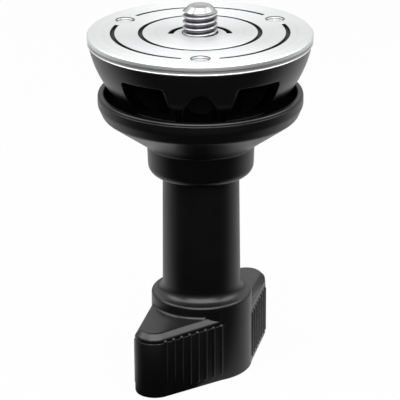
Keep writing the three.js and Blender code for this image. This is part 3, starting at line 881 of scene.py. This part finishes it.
def make_beads():
    run = wing_reach * math.sin(math.radians(face_angle))
    beads = []
    for face, side in ((face_angle, 0), (-face_angle, 1), (180 + face_angle, 0), (180 - face_angle, 1)):
        outward = wing_angle + face
        x, y = polar(hub_radius + bead_proud - bead_radius, outward)
        along = outward + (-90 if side == 0 else 90)
        for k in range(bead_count):
            ax, ay = polar(run - bead_margin - k * bead_pitch, along)
            sink = bead_sink * (bead_count - k) + low_side_fall * side
            beads.append(moved(lathe("bead", bead_outline(sink), 20), x + ax, y + ay))
    return merged(beads)


def make_wing_fillet():
    """Hollow rounding where the hub's wall rises from the wings' tops."""
    sink, inset, sector_reach, half_angle = 0.06, 1.6, 20, 43
    foot = wing_top - wing_drop * hub_radius / wing_reach - sink
    low, high = foot - 2, foot + 2
    inner, outer = hub_radius - 0.6, hub_radius + wing_fillet
    rises = [polar(wing_fillet, 15 * k) for k in range(7)]
    curve = [(outer - x, foot + wing_fillet - y) for x, y in rises]
    ring = lathe("fillet", [(inner, foot - 1), (inner, foot + wing_fillet), *curve, (outer, foot - 1)])
    boolean(ring, moved(prism("keep", wing_outline(inset), low, high), turn=wing_angle), "INTERSECT")
    sectors = []
    for turn in (wing_angle, wing_angle + 180):
        corners = [polar(sector_reach, turn - half_angle), (0, 0), polar(sector_reach, turn + half_angle)]
        sectors.append(prism("sector", corners, low, high))
    return boolean(ring, merged(sectors), "INTERSECT")


def make_handle():
    wide, tall = column_fillet
    groove_top = ring_low + ring_groove_height
    turns = [math.radians(7.5 * k) for k in range(13)]
    fillet = [
        (column_radius + wide - wide * math.sin(a), hub_lip + tall - tall * math.cos(a)) for a in turns
    ]
    outline = rounded([
        (knob_bore, 0, 0.1),
        (hub_foot_radius, 0, 0.45),
        (hub_radius, hub_lip, 0.85),
        *fillet,
        (column_top_radius, shoulder, 0.5),
        (spigot_radius, shoulder, 0.1),
        (spigot_radius, ring_low),
        (ring_groove_radius, ring_low),
        (ring_groove_radius, groove_top),
        (spigot_radius, groove_top),
        (spigot_radius, spigot_top, 0.3),
        (rod_clearance, spigot_top, 0.3),
        (rod_clearance, cap_seat),
        (knob_bore, cap_seat),
    ], 8)
    handle = lathe("handle", outline)
    boolean(handle, make_wings(), "UNION")
    boolean(handle, cylinder("bore", knob_bore, -1, cap_bore_top, 96), "DIFFERENCE")
    boolean(handle, make_beads(), "UNION")
    boolean(handle, make_wing_fillet(), "UNION")
    return handle


piece(make_handle(), "handle_dress", "handle", "handle_moulding", handle_plastic, "handle")


# Floor, light and camera
def make_floor():
    """Pale floor, which gloss mirrors mostly where it lies behind the object."""
    bm = bmesh.new()
    bmesh.ops.create_grid(bm, x_segments=2, y_segments=2, size=4000)
    floor = finish_mesh(bm, "floor")
    floor.data.transform(Matrix.Scale(MM, 4))
    del floor["smooth"]
    floor.location.z = -0.00002
    material = bpy.data.materials.new("floor")
    material.use_nodes = True
    graph = Graph(material.node_tree)
    graph.tree.nodes.clear()
    output = graph.node("ShaderNodeOutputMaterial")
    base = graph.node("ShaderNodeBsdfDiffuse")
    base.inputs["Color"].default_value = (0.018, 0.018, 0.018, 1)
    path = graph.node("ShaderNodeLightPath")
    coord = graph.node("ShaderNodeTexCoord")
    ahead = graph.node("ShaderNodeVectorMath", operation="ADD")
    graph.link(coord.outputs["Object"], ahead.inputs[0])
    ahead.inputs[1].default_value = (0, 0.018, 0)
    away = graph.node("ShaderNodeVectorMath", operation="NORMALIZE")
    graph.link(ahead.outputs[0], away.inputs[0])
    depth = graph.part(away.outputs[0], "Y")
    behind = graph.spread(depth, 0.0, 0.7, from_low=-0.3, from_high=0.7, kind="SMOOTHSTEP")
    mirrored = graph.math("MULTIPLY", path.outputs["Is Glossy Ray"], behind)
    strength = graph.math("MULTIPLY_ADD", path.outputs["Is Camera Ray"], 0.96, mirrored)
    glow = graph.node("ShaderNodeEmission")
    glow.inputs["Color"].default_value = (1, 1, 1, 1)
    graph.link(strength, glow.inputs["Strength"])
    total = graph.node("ShaderNodeAddShader")
    graph.link(base.outputs[0], total.inputs[0])
    graph.link(glow.outputs[0], total.inputs[1])
    graph.link(total.outputs[0], output.inputs["Surface"])
    floor.data.materials.append(material)


def make_world():
    """Soft studio: white to the camera, brighter behind and above for everything else."""
    world = bpy.data.worlds.new("studio")
    bpy.context.scene.world = world
    world.use_nodes = True
    graph = Graph(world.node_tree)
    graph.tree.nodes.clear()
    output = graph.node("ShaderNodeOutputWorld")
    background = graph.node("ShaderNodeBackground")
    background.inputs["Color"].default_value = (1, 1, 1, 1)
    way = graph.node("ShaderNodeTexCoord").outputs["Generated"]
    depth, height = graph.part(way, "Y"), graph.part(way, "Z")
    ramp = graph.spread(depth, 0.55, 0.95, from_low=-0.6, from_high=0.8, kind="SMOOTHSTEP")
    rise = graph.spread(height, 0.15, 1.0, from_low=0.08, from_high=0.34, kind="SMOOTHSTEP")
    sky = graph.math("MULTIPLY", ramp, rise)
    path = graph.node("ShaderNodeLightPath")
    graph.link(graph.math("MAXIMUM", sky, path.outputs["Is Camera Ray"]), background.inputs["Strength"])
    graph.link(background.outputs[0], output.inputs["Surface"])


def area_light(name, place, width, height, watts):
    """Lamp that faces the middle of the object."""
    target = Vector((0, 0, 0.06))
    data = bpy.data.lights.new(name, "AREA")
    data.shape = "RECTANGLE"
    data.size = width
    data.size_y = height
    data.energy = watts
    lamp = bpy.data.objects.new(name, data)
    bpy.context.scene.collection.objects.link(lamp)
    lamp.location = place
    lamp.rotation_euler = (target - Vector(place)).to_track_quat("-Z", "Y").to_euler()


def make_camera(place, look_down, roll):
    data = bpy.data.cameras.new("camera")
    data.sensor_width = 36
    data.lens = 200.7
    data.shift_x = -0.0006
    data.shift_y = -0.00125
    data.clip_start = 0.01
    data.clip_end = 20
    camera = bpy.data.objects.new("camera", data)
    bpy.context.scene.collection.objects.link(camera)
    tilt = Matrix.Rotation(math.radians(90 - look_down), 4, "X")
    turn = Matrix.Rotation(math.radians(roll), 4, "Z")
    camera.matrix_world = Matrix.Translation(place) @ tilt @ turn
    bpy.context.scene.camera = camera


make_floor()
make_world()
area_light("front_top", (0, -0.36, 0.53), width=0.8, height=0.6, watts=6.1)
area_light("left_top", (-0.5, 0.0, 0.5), width=0.42, height=0.4, watts=1.7)
area_light("right_top", (0.5, 0.0, 0.5), width=0.42, height=0.4, watts=1.7)
make_camera((-0.00024, -0.5806, 0.2755), look_down=21.25, roll=-0.34)
bpy.context.scene.view_settings.view_transform = "Standard"
